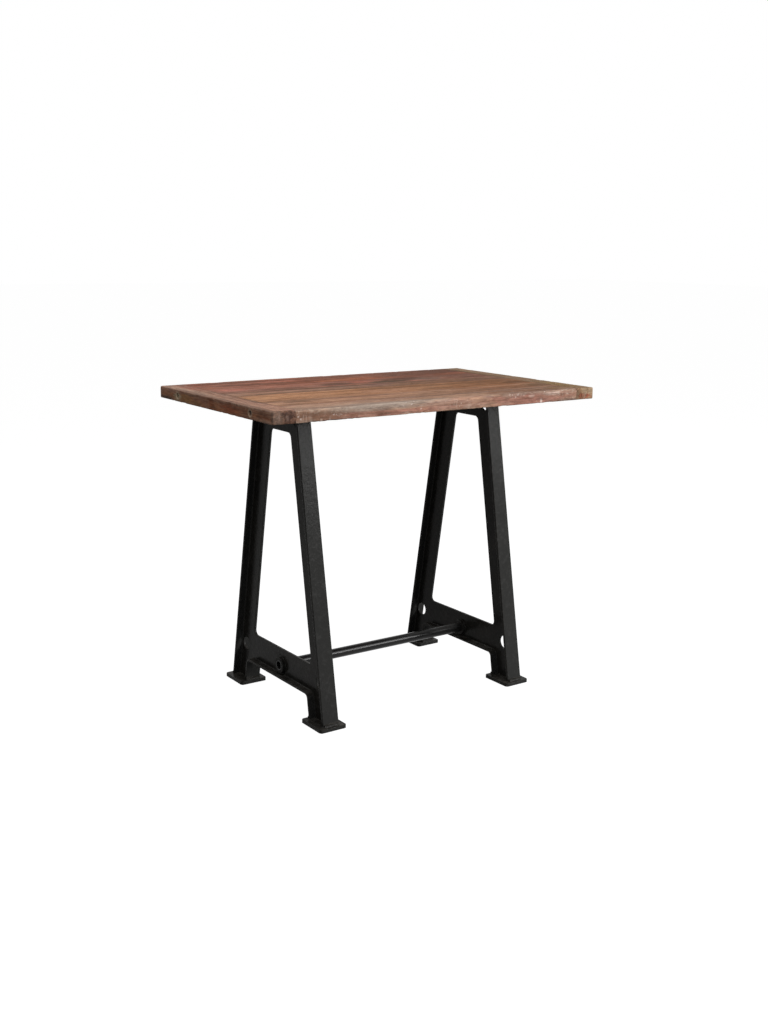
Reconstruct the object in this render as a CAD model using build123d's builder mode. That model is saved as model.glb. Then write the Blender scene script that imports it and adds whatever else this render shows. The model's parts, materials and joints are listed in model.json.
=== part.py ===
import os
from math import sqrt

from build123d import *

os.makedirs("parts", exist_ok=True)

# Overall sizes, in millimetres. X runs along the table, Z is up, the floor is at zero.
table_length = 1270.0
table_height = 1050.0
top_thick = 40.0

# Tabletop boards: six planks between two end boards. The widths run from the back to the front.
plank_widths = [178.0, 123.0, 92.0, 155.0, 110.0, 100.0]
end_board_width = 78.0
board_gap = 0.4
worn_edge = 3.0
joint_edge = 0.8

# Loose tongues that hold the boards level with each other, with bolts through the end ones
tongue_cheek = 2.0
tongue_reach = 12.0
tongue_clear = 0.2
end_tongue_inset = 40.0

# Bolts that draw the end boards on to the planks
end_bolt_spread = 490.0
end_bolt_shank = 8.0
end_bolt_head = 13.0
end_bolt_head_thick = 8.0
end_bolt_key = 6.0
end_bolt_key_depth = 4.0
end_bolt_grip = 50.0
end_bolt_tip = 6.0
screw_point = 1.5
end_bolt_sink = 4.5
end_bolt_well_clear = 1.5
end_bolt_well_wear = 2.0
washer_thick = 1.5
hole_clear = 0.2

# A-frame castings
frame_spread = 772.0
leg_outer_floor = 308.0
leg_outer_top = 136.0
leg_depth = 86.0
web_thick = 9.0
flange_thick = 10.0
flange_width_floor = 60.0
flange_width_top = 52.0
flange_round = 2.5
web_root = 5.0
top_bar_depth = 82.0
top_plate_thick = 8.0
opening_top_round = 18.0
opening_low_round = 16.0
opening_edge_round = 2.0

# Cross bar low on each casting, with a rim along its underside and down the legs
bar_bottom = 88.0
bar_depth = 96.0
rim_thick = 8.0
rim_width = 56.0
rim_corner = 14.0
rim_root = 3.0
rim_round = 2.0
web_hole = 46.0
web_hole_round = 1.5
web_hole_margin = 2.0
low_hole_rise = 48.0

# Foot pads, by how far they stand out past the leg on each side
pad_outside = 15.0
pad_inside = 13.0
pad_beside = 20.0
pad_thick = 12.0
pad_corner = 10.0
pad_edge = 2.0
foot_flare = 8.0
flare_hollow = 0.28

# Stretcher pipe, its bosses and its set screws
pipe_outer = 34.0
pipe_wall = 3.0
pipe_clear = 0.15
boss_wall = 11.0
boss_length = 32.0
boss_edge = 1.5
boss_over_rim = 4.0
set_screw = 6.0
set_screw_sink = 2.0
set_screw_key = 3.0
set_screw_key_depth = 2.5

# Screws that hold the castings under the top
frame_screw_shank = 6.0
frame_screw_head = 10.0
frame_screw_head_thick = 4.0
frame_screw_cover = 9.0
frame_screw_tip = 5.0
frame_screw_inset = 28.0
frame_washer = 13.0

# Heights and places that follow from the sizes above
top_under = table_height - top_thick
board_middle = table_height - top_thick / 2
plank_length = table_length - 2 * (end_board_width + board_gap)
plank_end = plank_length / 2
table_width = sum(plank_widths) + (len(plank_widths) - 1) * board_gap
tongue_thick = end_bolt_shank + 2 * tongue_cheek
end_tongue_length = table_width - 2 * end_tongue_inset
end_bolt_places = [(-end_bolt_spread / 2, board_middle), (end_bolt_spread / 2, board_middle)]
end_bolt_well = end_bolt_head + 2 * end_bolt_well_clear
end_bolt_well_depth = end_bolt_sink + end_bolt_head_thick + washer_thick
frame_screw_grip = top_thick - frame_screw_cover - frame_screw_tip
frame_x = frame_spread / 2
leg_slope = (leg_outer_floor - leg_outer_top) / top_under
bar_top = bar_bottom + bar_depth
rim_top = bar_bottom + rim_thick
rim_inset = leg_depth + rim_thick
bore_radius = pipe_outer / 2 + pipe_clear
boss_diameter = pipe_outer + 2 * boss_wall
pipe_height = rim_top + boss_over_rim + boss_diameter / 2
pipe_length = frame_spread + boss_length
sides = {"left": -1, "right": 1}
turns = (-1, 1)
hex_sides = 6
quarter_turn = 90.0
tip_align = (Align.CENTER, Align.CENTER, Align.MIN)


def leg_outer(height):
    """Distance of a leg's outer face from the middle of the table."""
    return leg_outer_floor - leg_slope * height


def plank_edges():
    """Front and back edge of each plank, from the back of the table to the front."""
    edges = []
    back = table_width / 2
    for width in plank_widths:
        edges.append((back - width, back))
        back -= width + board_gap
    return edges


def frame_screw_places():
    """Places of the screws that hold both castings under the top."""
    half_x = (web_thick + flange_width_top) / 4
    half_y = leg_outer_top - frame_screw_inset
    return [
        (side * frame_x + step_x, step_y)
        for side in sides.values()
        for step_x in (-half_x, half_x)
        for step_y in (-half_y, half_y)
    ]


def set_screw_place(side):
    """Place of a set screw along the table, between the web and the inner end of its boss."""
    return side * (frame_x - (web_thick + boss_length) / 4)


def slanted_sides(low, high, inset):
    """Corners of a shape between two heights, set in from the outer faces of the legs."""
    half_low = leg_outer(low) - inset
    half_high = leg_outer(high) - inset
    return [(-half_low, low), (half_low, low), (half_high, high), (-half_high, high)]


# Planks, numbered from the back of the table to the front
bolt_hole = end_bolt_shank + hole_clear
screw_hole = frame_screw_shank + hole_clear
groove_reach = tongue_reach + tongue_clear
groove_thick = tongue_thick + tongue_clear
bolt_hole_depth = end_bolt_grip + end_bolt_tip + hole_clear
screw_hole_depth = frame_screw_grip + frame_screw_tip + hole_clear
edges_of_planks = plank_edges()

for number, (front, back) in enumerate(edges_of_planks, start=1):
    with BuildPart() as plank:
        with BuildSketch(Plane.XY.offset(top_under)):
            with Locations((0, (front + back) / 2)):
                Rectangle(plank_length, back - front)
        extrude(amount=top_thick)
        long_edges = plank.edges().filter_by(Axis.X)
        inside = table_width / 2 - board_gap
        outer_edges = [edge for edge in long_edges if abs(edge.center().Y) > inside]
        joint_edges = [edge for edge in long_edges if abs(edge.center().Y) <= inside]
        if outer_edges:
            fillet(outer_edges, worn_edge)
        chamfer(joint_edges, joint_edge)
        # Grooves for the loose tongues along both neighbours and at both ends
        for groove_y, has_neighbour in ((front, number < len(plank_widths)), (back, number > 1)):
            if has_neighbour:
                with Locations((0, groove_y, board_middle)):
                    Box(plank_length, 2 * groove_reach, groove_thick, mode=Mode.SUBTRACT)
        with Locations((-plank_end, 0, board_middle), (plank_end, 0, board_middle)):
            Box(2 * groove_reach, end_tongue_length + 2 * tongue_clear, groove_thick, mode=Mode.SUBTRACT)
        # Holes for the end bolts and the casting screws
        for side in sides.values():
            with BuildSketch(Plane.YZ.offset(side * plank_end)):
                with Locations(*end_bolt_places):
                    Circle(bolt_hole / 2)
            extrude(amount=-side * bolt_hole_depth, mode=Mode.SUBTRACT)
        with BuildSketch(Plane.XY.offset(top_under)):
            with Locations(*frame_screw_places()):
                Circle(screw_hole / 2)
        extrude(amount=screw_hole_depth, mode=Mode.SUBTRACT)
    plank.part.label = f"top_plank_{number}"
    export_step(plank.part, f"parts/top_plank_{number}.step")

# Loose tongues between neighbouring planks
plank_tongue_length = plank_length - 2 * (groove_reach + tongue_clear)
for number, (front, back) in enumerate(edges_of_planks[:-1], start=1):
    with BuildPart() as plank_tongue:
        with Locations((0, front - board_gap / 2, board_middle)):
            Box(plank_tongue_length, 2 * tongue_reach + board_gap, tongue_thick)
        # An end bolt that runs along a joint passes through its tongue
        for side in sides.values():
            with BuildSketch(Plane.YZ.offset(side * plank_end)):
                with Locations(*end_bolt_places):
                    Circle(bolt_hole / 2)
            extrude(amount=-side * bolt_hole_depth, mode=Mode.SUBTRACT)
    plank_tongue.part.label = f"plank_tongue_{number}"
    export_step(plank_tongue.part, f"parts/plank_tongue_{number}.step")

# End boards and the tongues between them and the planks
for name, side in sides.items():
    outer_face = side * table_length / 2
    inner_face = side * (table_length / 2 - end_board_width)
    with BuildPart() as end_board:
        with Locations(((outer_face + inner_face) / 2, 0, board_middle)):
            Box(end_board_width, table_width, top_thick)
        outer_edges = end_board.faces().sort_by(Axis.X)[-1 if side > 0 else 0].edges()
        end_edges = end_board.edges().filter_by(Axis.X)
        fillet(outer_edges + end_edges, worn_edge)
        joint_edges = end_board.edges().group_by(Axis.X)[0 if side > 0 else -1].filter_by(Axis.Y)
        chamfer(joint_edges, joint_edge)
        with Locations((inner_face, 0, board_middle)):
            Box(2 * groove_reach, end_tongue_length + 2 * tongue_clear, groove_thick, mode=Mode.SUBTRACT)
        with BuildSketch(Plane.YZ.offset(outer_face)):
            with Locations(*end_bolt_places):
                Circle(bolt_hole / 2)
        extrude(amount=-side * end_board_width, mode=Mode.SUBTRACT)
        with BuildSketch(Plane.YZ.offset(outer_face)):
            with Locations(*end_bolt_places):
                Circle(end_bolt_well / 2)
        extrude(amount=-side * end_bolt_well_depth, mode=Mode.SUBTRACT)
        round_edges = end_board.edges().filter_by(GeomType.CIRCLE)
        chamfer(round_edges.group_by(Axis.X)[-1 if side > 0 else 0], end_bolt_well_wear)
    end_board.part.label = f"end_board_{name}"
    export_step(end_board.part, f"parts/end_board_{name}.step")

    with BuildPart() as end_tongue:
        with Locations((inner_face - side * board_gap / 2, 0, board_middle)):
            Box(2 * tongue_reach + board_gap, end_tongue_length, tongue_thick)
        with BuildSketch(Plane.YZ.offset(inner_face + side * tongue_reach)):
            with Locations(*end_bolt_places):
                Circle(bolt_hole / 2)
        extrude(amount=-side * (2 * tongue_reach + board_gap), mode=Mode.SUBTRACT)
    end_tongue.part.label = f"end_tongue_{name}"
    export_step(end_tongue.part, f"parts/end_tongue_{name}.step")

# Bolts of the end boards, sunk in their wells, and their washers
end_bolt_length = end_board_width - end_bolt_well_depth + board_gap + end_bolt_grip
with BuildPart() as end_bolts:
    for side in sides.values():
        seat = side * (table_length / 2 - end_bolt_well_depth)
        head_under = seat + side * washer_thick
        head_face = head_under + side * end_bolt_head_thick
        with BuildSketch(Plane.YZ.offset(head_under)):
            with Locations(*end_bolt_places):
                Circle(end_bolt_head / 2)
        extrude(amount=side * end_bolt_head_thick)
        with BuildSketch(Plane.YZ.offset(head_face)):
            with Locations(*end_bolt_places):
                RegularPolygon(end_bolt_key / 2, hex_sides, major_radius=False)
        extrude(amount=-side * end_bolt_key_depth, mode=Mode.SUBTRACT)
        with BuildSketch(Plane.YZ.offset(head_under)):
            with Locations(*end_bolt_places):
                Circle(end_bolt_shank / 2)
        extrude(amount=-side * (end_bolt_length + washer_thick))
        shank_end = head_under - side * (end_bolt_length + washer_thick)
        with Locations(*[(shank_end, y, z) for y, z in end_bolt_places]):
            Cone(
                end_bolt_shank / 2,
                screw_point / 2,
                end_bolt_tip,
                rotation=(0, -quarter_turn * side, 0),
                align=tip_align,
            )
end_bolts.part.label = "end_bolts"
export_step(end_bolts.part, "parts/end_bolts.step")

with BuildPart() as end_bolt_washers:
    for side in sides.values():
        with BuildSketch(Plane.YZ.offset(side * (table_length / 2 - end_bolt_well_depth))):
            with Locations(*end_bolt_places):
                Circle(end_bolt_well / 2 - hole_clear)
                Circle(bolt_hole / 2, mode=Mode.SUBTRACT)
        extrude(amount=side * washer_thick)
end_bolt_washers.part.label = "end_bolt_washers"
export_step(end_bolt_washers.part, "parts/end_bolt_washers.step")

# A-frame castings: a web with a flange down the outside of both legs
leg_length = top_under * sqrt(1 + leg_slope**2)
flange_square_thick = flange_thick / sqrt(1 + leg_slope**2)
bar_under = top_under - top_bar_depth
hole_rows = [
    bar_bottom + low_hole_rise,
    top_under - top_plate_thick - web_hole_margin - web_hole / 2,
]
hole_inset = flange_thick + web_root + web_hole_margin + web_hole / 2
web_holes = [(turn * (leg_outer(row) - hole_inset), row) for row in hole_rows for turn in turns]
pad_width = pad_outside + rim_inset + pad_inside
pad_center = leg_outer_floor + pad_outside - pad_width / 2


def flange_half_width(along):
    """Half the width of a flange, at a distance up the leg from the floor."""
    return (flange_width_floor + (flange_width_top - flange_width_floor) * along / leg_length) / 2


def flange(middle, turn):
    """Plate down the outside of one leg, with its long edges rounded, running past both ends."""
    low = -flange_thick
    high = leg_length + flange_thick
    outer_face = Plane(
        origin=(middle, turn * leg_outer_floor, 0),
        x_dir=(-turn, 0, 0),
        z_dir=(0, turn, leg_slope),
    )
    with BuildPart() as plate:
        with BuildSketch(outer_face):
            Polygon(
                (-flange_half_width(low), low),
                (flange_half_width(low), low),
                (flange_half_width(high), high),
                (-flange_half_width(high), high),
                align=None,
            )
        extrude(amount=-flange_square_thick)
        long_edges = [edge for edge in plate.edges() if edge.length > leg_length]
        fillet(long_edges, flange_round)
    return plate.part


def foot_pad(middle, turn):
    """Pad under one leg, with rounded corners and a softened top edge."""
    with BuildPart() as pad:
        with BuildSketch():
            with Locations((middle, turn * pad_center)):
                RectangleRounded(flange_width_floor + 2 * pad_beside, pad_width, pad_corner)
        extrude(amount=pad_thick)
        fillet(pad.edges().group_by(Axis.Z)[-1], pad_edge)
    return pad.part


def flare_corners(turn, inset, outward):
    """Corner, top and toe of the flare between a leg's face and its pad."""
    corner_y = leg_outer(pad_thick) - inset
    top_y = leg_outer(pad_thick + foot_flare) - inset
    toe_y = corner_y + outward * foot_flare
    return (turn * corner_y, pad_thick), (turn * top_y, pad_thick + foot_flare), (turn * toe_y, pad_thick)


for name, side in sides.items():
    middle = side * frame_x
    web_plane = Plane.YZ.offset(middle)
    flanges = [flange(middle, turn) for turn in turns]
    pads = [foot_pad(middle, turn) for turn in turns]
    with BuildPart() as frame:
        # Web with its openings, the edges of the upper one softened
        with BuildSketch(web_plane):
            Polygon(*slanted_sides(0, top_under, 0), align=None)
            with BuildSketch(mode=Mode.SUBTRACT) as upper_opening:
                Polygon(*slanted_sides(bar_top, bar_under, leg_depth), align=None)
                fillet(upper_opening.vertices().group_by(Axis.Y)[-1], opening_top_round)
                fillet(upper_opening.vertices().group_by(Axis.Y)[0], opening_low_round)
            with BuildSketch(mode=Mode.SUBTRACT) as lower_opening:
                Polygon(*slanted_sides(0, bar_bottom, rim_inset), align=None)
                fillet(lower_opening.vertices().group_by(Axis.Y)[-1], rim_corner)
        extrude(amount=web_thick / 2, both=True)
        opening_edges = [
            edge
            for edge in frame.edges().filter_by_position(Axis.Z, bar_top, bar_under)
            if abs(edge.center().X - middle) > web_thick / 4
        ]
        fillet(opening_edges, opening_edge_round)
        # Rim under the cross bar and down the inside of the lower legs
        with BuildSketch(web_plane):
            with BuildSketch() as rim_outside:
                Polygon(*slanted_sides(0, rim_top, leg_depth), align=None)
                fillet(rim_outside.vertices().group_by(Axis.Y)[-1], rim_corner + rim_thick)
            with BuildSketch(mode=Mode.SUBTRACT) as rim_inside:
                Polygon(*slanted_sides(0, bar_bottom, rim_inset), align=None)
                fillet(rim_inside.vertices().group_by(Axis.Y)[-1], rim_corner)
        extrude(amount=rim_width / 2, both=True)
        rim_edges = [
            edge
            for edge in frame.edges()
            if 0 < edge.center().Z < rim_top + rim_root
            and abs(edge.center().X - middle) > rim_width / 2 - rim_round
        ]
        fillet(rim_edges, rim_round)
        rim_roots = [
            edge
            for edge in frame.edges()
            if 0 < edge.center().Z < rim_top + rim_root
            and abs(abs(edge.center().X - middle) - web_thick / 2) < web_thick / 4
            and abs(edge.center().Y) < leg_outer(edge.center().Z) - leg_depth + rim_thick
        ]
        fillet(rim_roots, rim_root)
        # Flanges, wider at the floor than under the top
        add(flanges)
        flange_roots = [
            edge
            for edge in frame.edges()
            if edge.length > top_under
            and abs(abs(edge.center().X - middle) - web_thick / 2) < web_thick / 4
        ]
        fillet(flange_roots, web_root)
        split(bisect_by=Plane.XY, keep=Keep.TOP)
        split(bisect_by=Plane.XY.offset(top_under), keep=Keep.BOTTOM)
        # Foot pads, and the flares where the legs run into them
        add(pads)
        with BuildSketch(web_plane):
            for turn in turns:
                for inset, outward in ((0, 1), (rim_inset, -1)):
                    corner, top, toe = flare_corners(turn, inset, outward)
                    with BuildLine():
                        Line(corner, top)
                        SagittaArc(top, toe, turn * outward * foot_flare * flare_hollow)
                        Line(toe, corner)
                    make_face()
        extrude(amount=rim_width / 2 - rim_round, both=True)
        # Plate under the top, with its screw holes
        with BuildSketch(Plane.XY.offset(top_under)):
            with Locations((middle, 0)):
                Rectangle(flange_width_top, 2 * leg_outer_top)
        extrude(amount=-top_plate_thick)
        with BuildSketch(Plane.XY.offset(top_under)):
            with Locations(*frame_screw_places()):
                Circle(screw_hole / 2)
        extrude(amount=-top_plate_thick, mode=Mode.SUBTRACT)
        # Round holes through the web where the legs meet the bars, with softened edges
        with BuildSketch(web_plane):
            with Locations(*web_holes):
                Circle(web_hole / 2)
        extrude(amount=web_thick, both=True, mode=Mode.SUBTRACT)
        hole_edges = [
            edge
            for edge in frame.edges().filter_by(GeomType.CIRCLE)
            if edge.is_closed and abs(edge.radius - web_hole / 2) < web_hole_round
        ]
        fillet(hole_edges, web_hole_round)
        # Boss for the stretcher pipe, with a tapped hole in its back for the set screw
        with BuildSketch(web_plane):
            with Locations((0, pipe_height)):
                Circle(boss_diameter / 2)
        extrude(amount=boss_length / 2, both=True)
        boss_ends = [
            edge
            for edge in frame.edges().filter_by(GeomType.CIRCLE)
            if abs(edge.center().X - middle) > boss_length / 2 - boss_edge
            and abs(edge.radius - boss_diameter / 2) < boss_edge
        ]
        chamfer(boss_ends, boss_edge)
        with BuildSketch(web_plane):
            with Locations((0, pipe_height)):
                Circle(bore_radius)
        extrude(amount=boss_length, both=True, mode=Mode.SUBTRACT)
        with BuildSketch(Plane.XZ):
            with Locations((set_screw_place(side), pipe_height)):
                Circle((set_screw + hole_clear) / 2)
        extrude(amount=-boss_diameter / 2, mode=Mode.SUBTRACT)
    frame.part.label = f"frame_{name}"
    export_step(frame.part, f"parts/frame_{name}.step")

# Stretcher pipe between the castings, its ends level with the bosses
with BuildPart() as stretcher_pipe:
    with BuildSketch(Plane.YZ):
        with Locations((0, pipe_height)):
            Circle(pipe_outer / 2)
            Circle(pipe_outer / 2 - pipe_wall, mode=Mode.SUBTRACT)
    extrude(amount=pipe_length / 2, both=True)
stretcher_pipe.part.label = "stretcher_pipe"
export_step(stretcher_pipe.part, "parts/stretcher_pipe.step")

# Set screws that hold the pipe in its bosses
set_screw_end = boss_diameter / 2 - set_screw_sink
with BuildPart() as set_screws:
    for side in sides.values():
        with BuildSketch(Plane.XZ.offset(-bore_radius)):
            with Locations((set_screw_place(side), pipe_height)):
                Circle(set_screw / 2)
        extrude(amount=bore_radius - set_screw_end)
        with BuildSketch(Plane.XZ.offset(-set_screw_end)):
            with Locations((set_screw_place(side), pipe_height)):
                RegularPolygon(set_screw_key / 2, hex_sides, major_radius=False)
        extrude(amount=set_screw_key_depth, mode=Mode.SUBTRACT)
set_screws.part.label = "set_screws"
export_step(set_screws.part, "parts/set_screws.step")

# Screws and washers that hold the castings under the top
plate_under = top_under - top_plate_thick
with BuildPart() as frame_screws:
    with BuildSketch(Plane.XY.offset(plate_under - washer_thick)):
        with Locations(*frame_screw_places()):
            RegularPolygon(frame_screw_head / 2, hex_sides, major_radius=False)
    extrude(amount=-frame_screw_head_thick)
    with BuildSketch(Plane.XY.offset(plate_under - washer_thick)):
        with Locations(*frame_screw_places()):
            Circle(frame_screw_shank / 2)
    extrude(amount=washer_thick + top_plate_thick + frame_screw_grip)
    with Locations(*[(x, y, top_under + frame_screw_grip) for x, y in frame_screw_places()]):
        Cone(frame_screw_shank / 2, screw_point / 2, frame_screw_tip, align=tip_align)
frame_screws.part.label = "frame_screws"
export_step(frame_screws.part, "parts/frame_screws.step")

with BuildPart() as frame_washers:
    with BuildSketch(Plane.XY.offset(plate_under)):
        with Locations(*frame_screw_places()):
            Circle(frame_washer / 2)
            Circle(screw_hole / 2, mode=Mode.SUBTRACT)
    extrude(amount=-washer_thick)
frame_washers.part.label = "frame_washers"
export_step(frame_washers.part, "parts/frame_washers.step")
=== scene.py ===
import json
import math

import bmesh
import bpy
import numpy as np
from mathutils import Matrix, Vector

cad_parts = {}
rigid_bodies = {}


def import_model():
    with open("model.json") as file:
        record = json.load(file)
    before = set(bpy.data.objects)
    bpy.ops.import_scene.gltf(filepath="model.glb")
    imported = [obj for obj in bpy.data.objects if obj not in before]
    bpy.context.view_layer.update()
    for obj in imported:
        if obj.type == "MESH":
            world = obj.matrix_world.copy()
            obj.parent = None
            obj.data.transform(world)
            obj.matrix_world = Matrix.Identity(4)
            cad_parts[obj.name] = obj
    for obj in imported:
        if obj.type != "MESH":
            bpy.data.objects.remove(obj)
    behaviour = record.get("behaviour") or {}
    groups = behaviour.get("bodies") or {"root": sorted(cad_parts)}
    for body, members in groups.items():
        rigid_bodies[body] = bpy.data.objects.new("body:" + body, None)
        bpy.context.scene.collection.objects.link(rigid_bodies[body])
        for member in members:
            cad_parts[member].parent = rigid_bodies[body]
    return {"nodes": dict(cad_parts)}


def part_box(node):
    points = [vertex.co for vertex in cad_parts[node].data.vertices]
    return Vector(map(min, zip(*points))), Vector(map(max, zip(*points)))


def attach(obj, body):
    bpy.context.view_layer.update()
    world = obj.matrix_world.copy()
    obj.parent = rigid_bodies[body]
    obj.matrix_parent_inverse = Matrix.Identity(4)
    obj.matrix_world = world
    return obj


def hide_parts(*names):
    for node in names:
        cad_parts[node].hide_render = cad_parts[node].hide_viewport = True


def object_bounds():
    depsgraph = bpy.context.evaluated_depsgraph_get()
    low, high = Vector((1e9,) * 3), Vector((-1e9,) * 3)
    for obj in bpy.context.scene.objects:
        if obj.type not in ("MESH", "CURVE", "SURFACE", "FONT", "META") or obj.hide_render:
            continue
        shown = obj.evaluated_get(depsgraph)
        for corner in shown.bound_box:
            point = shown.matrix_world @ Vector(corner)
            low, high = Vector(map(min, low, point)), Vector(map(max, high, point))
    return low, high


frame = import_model()
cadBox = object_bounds()
nodes = frame["nodes"]
mm = 0.001
print("frame loaded:", len(nodes), "nodes")


# Small helpers for node trees

def addNode(tree, kind, **settings):
    node = tree.nodes.new(kind)
    for key, value in settings.items():
        setattr(node, key, value)
    return node


def feed(tree, socket, value):
    # a socket is linked, anything else becomes the default value
    if isinstance(value, bpy.types.NodeSocket):
        tree.links.new(value, socket)
    else:
        socket.default_value = value


def paint(red, green, blue):
    # screen colour 0 to 255 as the linear colour that a shader takes
    c = np.array([red, green, blue]) / 255
    linear = np.where(c <= 0.04045, c / 12.92, ((c + 0.055) / 1.055) ** 2.4)
    return (*linear.tolist(), 1.0)


def maths(tree, operation, a, b=0.0):
    node = addNode(tree, "ShaderNodeMath", operation=operation)
    feed(tree, node.inputs[0], a)
    feed(tree, node.inputs[1], b)
    return node.outputs[0]


def addUp(tree, start, terms):
    # the start plus each term times its share
    total = start
    for term, share in terms:
        total = maths(tree, "ADD", total, maths(tree, "MULTIPLY", term, share))
    return total


def vectorMaths(tree, operation, a, b=(0.0,) * 3):
    node = addNode(tree, "ShaderNodeVectorMath", operation=operation)
    feed(tree, node.inputs[0], a)
    feed(tree, node.inputs[1], b)
    return node.outputs["Value" if operation in ("LENGTH", "DOT_PRODUCT") else "Vector"]


def noiseOf(tree, vector, stretch, detail, roughness=0.55, distortion=0.0):
    # noise with its own cycles per metre along each axis
    node = addNode(tree, "ShaderNodeTexNoise")
    feed(tree, node.inputs["Vector"], vectorMaths(tree, "MULTIPLY", vector, stretch))
    node.inputs["Scale"].default_value = 1.0
    node.inputs["Detail"].default_value = detail
    node.inputs["Roughness"].default_value = roughness
    node.inputs["Distortion"].default_value = distortion
    return node.outputs[0]


def stepBetween(tree, value, low, high):
    # smooth step from 0 at low to 1 at high; low may be the larger
    node = addNode(tree, "ShaderNodeMapRange", interpolation_type="SMOOTHSTEP")
    feed(tree, node.inputs["Value"], value)
    feed(tree, node.inputs["From Min"], low)
    feed(tree, node.inputs["From Max"], high)
    return node.outputs["Result"]


def markOf(tree, vector, noise, low, high):
    # a noise cut to a mask by the smooth step
    return stepBetween(tree, noiseOf(tree, vector, *noise), low, high)


def blend(tree, factor, a, b, kind="MIX"):
    node = addNode(tree, "ShaderNodeMix", data_type="RGBA", blend_type=kind)
    feed(tree, node.inputs[0], factor)
    feed(tree, node.inputs[6], a)
    feed(tree, node.inputs[7], b)
    return node.outputs[2]


def coat(tree, colour, mask, amount, tint, kind="MIX"):
    # one more colour over what is there, where the mask lets it through
    return blend(tree, maths(tree, "MULTIPLY", mask, amount), colour, paint(*tint), kind)


def newGroup(name, **takes):
    # a shader group with its named inputs, vectors or single values
    tree = bpy.data.node_groups.new(name, "ShaderNodeTree")
    for label, kind in takes.items():
        tree.interface.new_socket(label, in_out="INPUT", socket_type="NodeSocket" + kind)
    return tree, tree.nodes.new("NodeGroupInput").outputs


def closeGroup(tree, results):
    # the group's named outputs, each linked to what was worked out for it
    for label in results:
        tree.interface.new_socket(label, in_out="OUTPUT", socket_type="NodeSocketFloat")
    out = tree.nodes.new("NodeGroupOutput").inputs
    for label, value in results.items():
        tree.links.new(value, out[label])
    return tree


def useGroup(tree, group, **values):
    node = addNode(tree, "ShaderNodeGroup", node_tree=group)
    for label, value in values.items():
        feed(tree, node.inputs[label], value)
    return node.outputs


def newMaterial(name):
    material = bpy.data.materials.new(name)
    material.use_nodes = True
    return material, material.node_tree, material.node_tree.nodes["Principled BSDF"]


def objectPlace(tree):
    return addNode(tree, "ShaderNodeTexCoord").outputs["Object"]


def bump(tree, shader, height, strength, distance):
    node = addNode(tree, "ShaderNodeBump")
    node.inputs["Strength"].default_value = strength
    node.inputs["Distance"].default_value = distance
    feed(tree, node.inputs["Height"], height)
    tree.links.new(node.outputs["Normal"], shader.inputs["Normal"])


# A noise is written as cycles per metre along x, y and z, then detail, roughness and distortion;
# a mark is a noise, then the values where it starts and where it is full

# Wood figure: growth rings about a heart line beside the board, fibres and pores along the grain (x)

grainFit = {
    "slow": ((1.7, 6.0, 6.0), 2.0, 0.5),       # sways the rings by each board's own amount
    "quick": ((7.0, 45.0, 45.0), 2.0, 0.5),
    "quickBy": 4 * mm,
    "ringRise": 2.4,                           # a ring darkens slowly and ends at once
    "ringEnd": (1.0, 0.90),
    "uneven": (((2.5, 18.0, 18.0), 2.0), 0.28, 0.72),
    "faintest": 0.35,
    "fibre": ((9.0, 420.0, 420.0), 4.0, 0.62, 0.15),
    "pore": (((60.0, 1300.0, 1300.0), 2.0, 0.5), 0.60, 0.70),
}


def makeGrainFigure():
    tree, into = newGroup("grainFigure", place="Vector", ringGap="Float", heart="Vector", sway="Float")
    place, fit = into["place"], grainFit
    away = vectorMaths(tree, "SUBTRACT", place, into["heart"])
    radius = vectorMaths(tree, "LENGTH", vectorMaths(tree, "MULTIPLY", away, (0.0, 1.0, 1.0)))
    slow = maths(tree, "SUBTRACT", noiseOf(tree, place, *fit["slow"]), 0.5)
    quick = maths(tree, "SUBTRACT", noiseOf(tree, place, *fit["quick"]), 0.5)
    bent = addUp(tree, radius, ((slow, into["sway"]), (quick, fit["quickBy"])))
    within = maths(tree, "FRACT", maths(tree, "DIVIDE", bent, into["ringGap"]))
    rise = maths(tree, "POWER", within, fit["ringRise"])
    line = maths(tree, "MULTIPLY", rise, stepBetween(tree, within, *fit["ringEnd"]))
    uneven = maths(tree, "ADD", fit["faintest"], markOf(tree, place, *fit["uneven"]))
    return closeGroup(tree, {
        "ring": maths(tree, "MULTIPLY", line, uneven),
        "fibre": noiseOf(tree, place, *fit["fibre"]),
        "pore": markOf(tree, place, *fit["pore"]),
    })


# Years of use: colour patches, lengthwise bands and streaks, cracks, scuffs, marks across the grain, specks

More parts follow.
